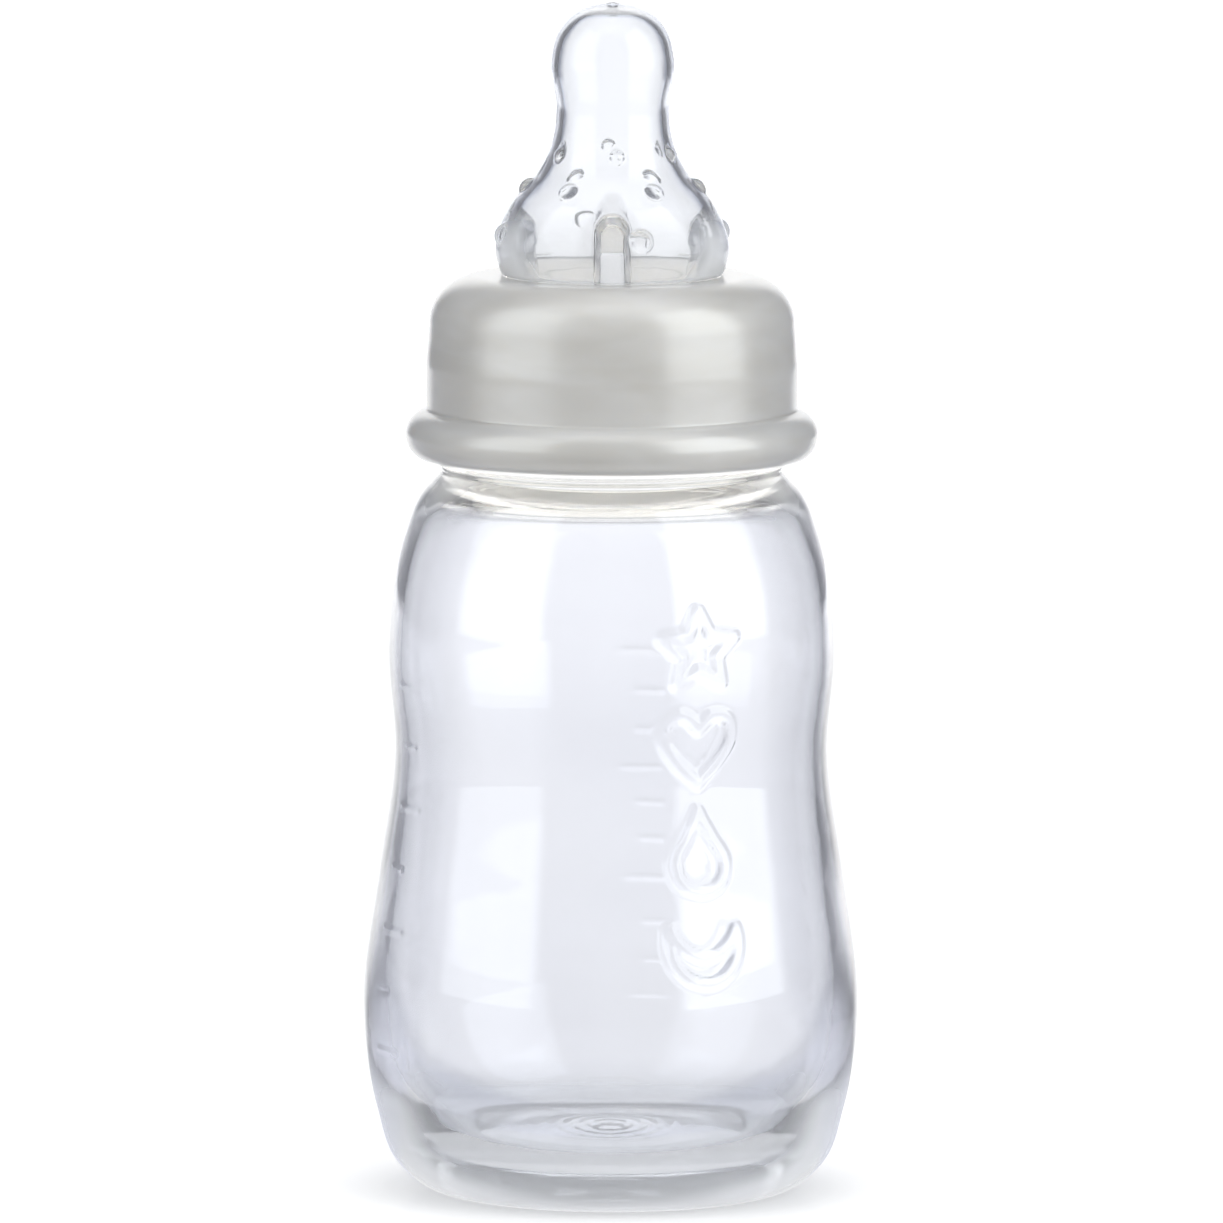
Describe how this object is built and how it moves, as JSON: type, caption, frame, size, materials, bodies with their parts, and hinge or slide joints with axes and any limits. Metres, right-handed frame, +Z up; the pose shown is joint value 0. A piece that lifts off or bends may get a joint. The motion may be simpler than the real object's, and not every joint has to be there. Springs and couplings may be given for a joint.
{
  "type": "baby bottle",
  "caption": "Clear waisted feeding bottle with a pearl-white screw collar that clamps a clear silicone teat on the rim.",
  "frame": {"origin": "centre of the bottle's foot, on the surface it stands on", "axes": "+Z up along the bottle's axis to the teat's tip; -Y is the front, the side that faces the viewer; +X is the viewer's right"},
  "size_m": [0.0606, 0.0607, 0.1458],
  "materials": {
    "clear_bottle": "clear, glossy",
    "pearl_collar": "pearl white, satin gloss",
    "clear_teat": "clear silicone, smooth"
  },
  "bodies": {
    "bottle": {"bottle": "clear_bottle"},
    "teat": {"teat": "clear_teat"},
    "collar": {"collar": "pearl_collar"}
  },
  "joints": [
    {"name": "teat_lift", "type": "slide", "parent": "bottle", "child": "teat", "axis": [0, 0, 1], "range_m": [0, 0.00733]},
    {"name": "collar_turn", "type": "hinge", "parent": "teat", "child": "collar", "pos_m": [0, 0, 0.1], "axis": [0, 0, 1], "range_deg": [0, 629]}
  ],
  "couplings": [
    {"joint": "collar_turn", "follows": "teat_lift", "rad_per_m": 1496}
  ]
}
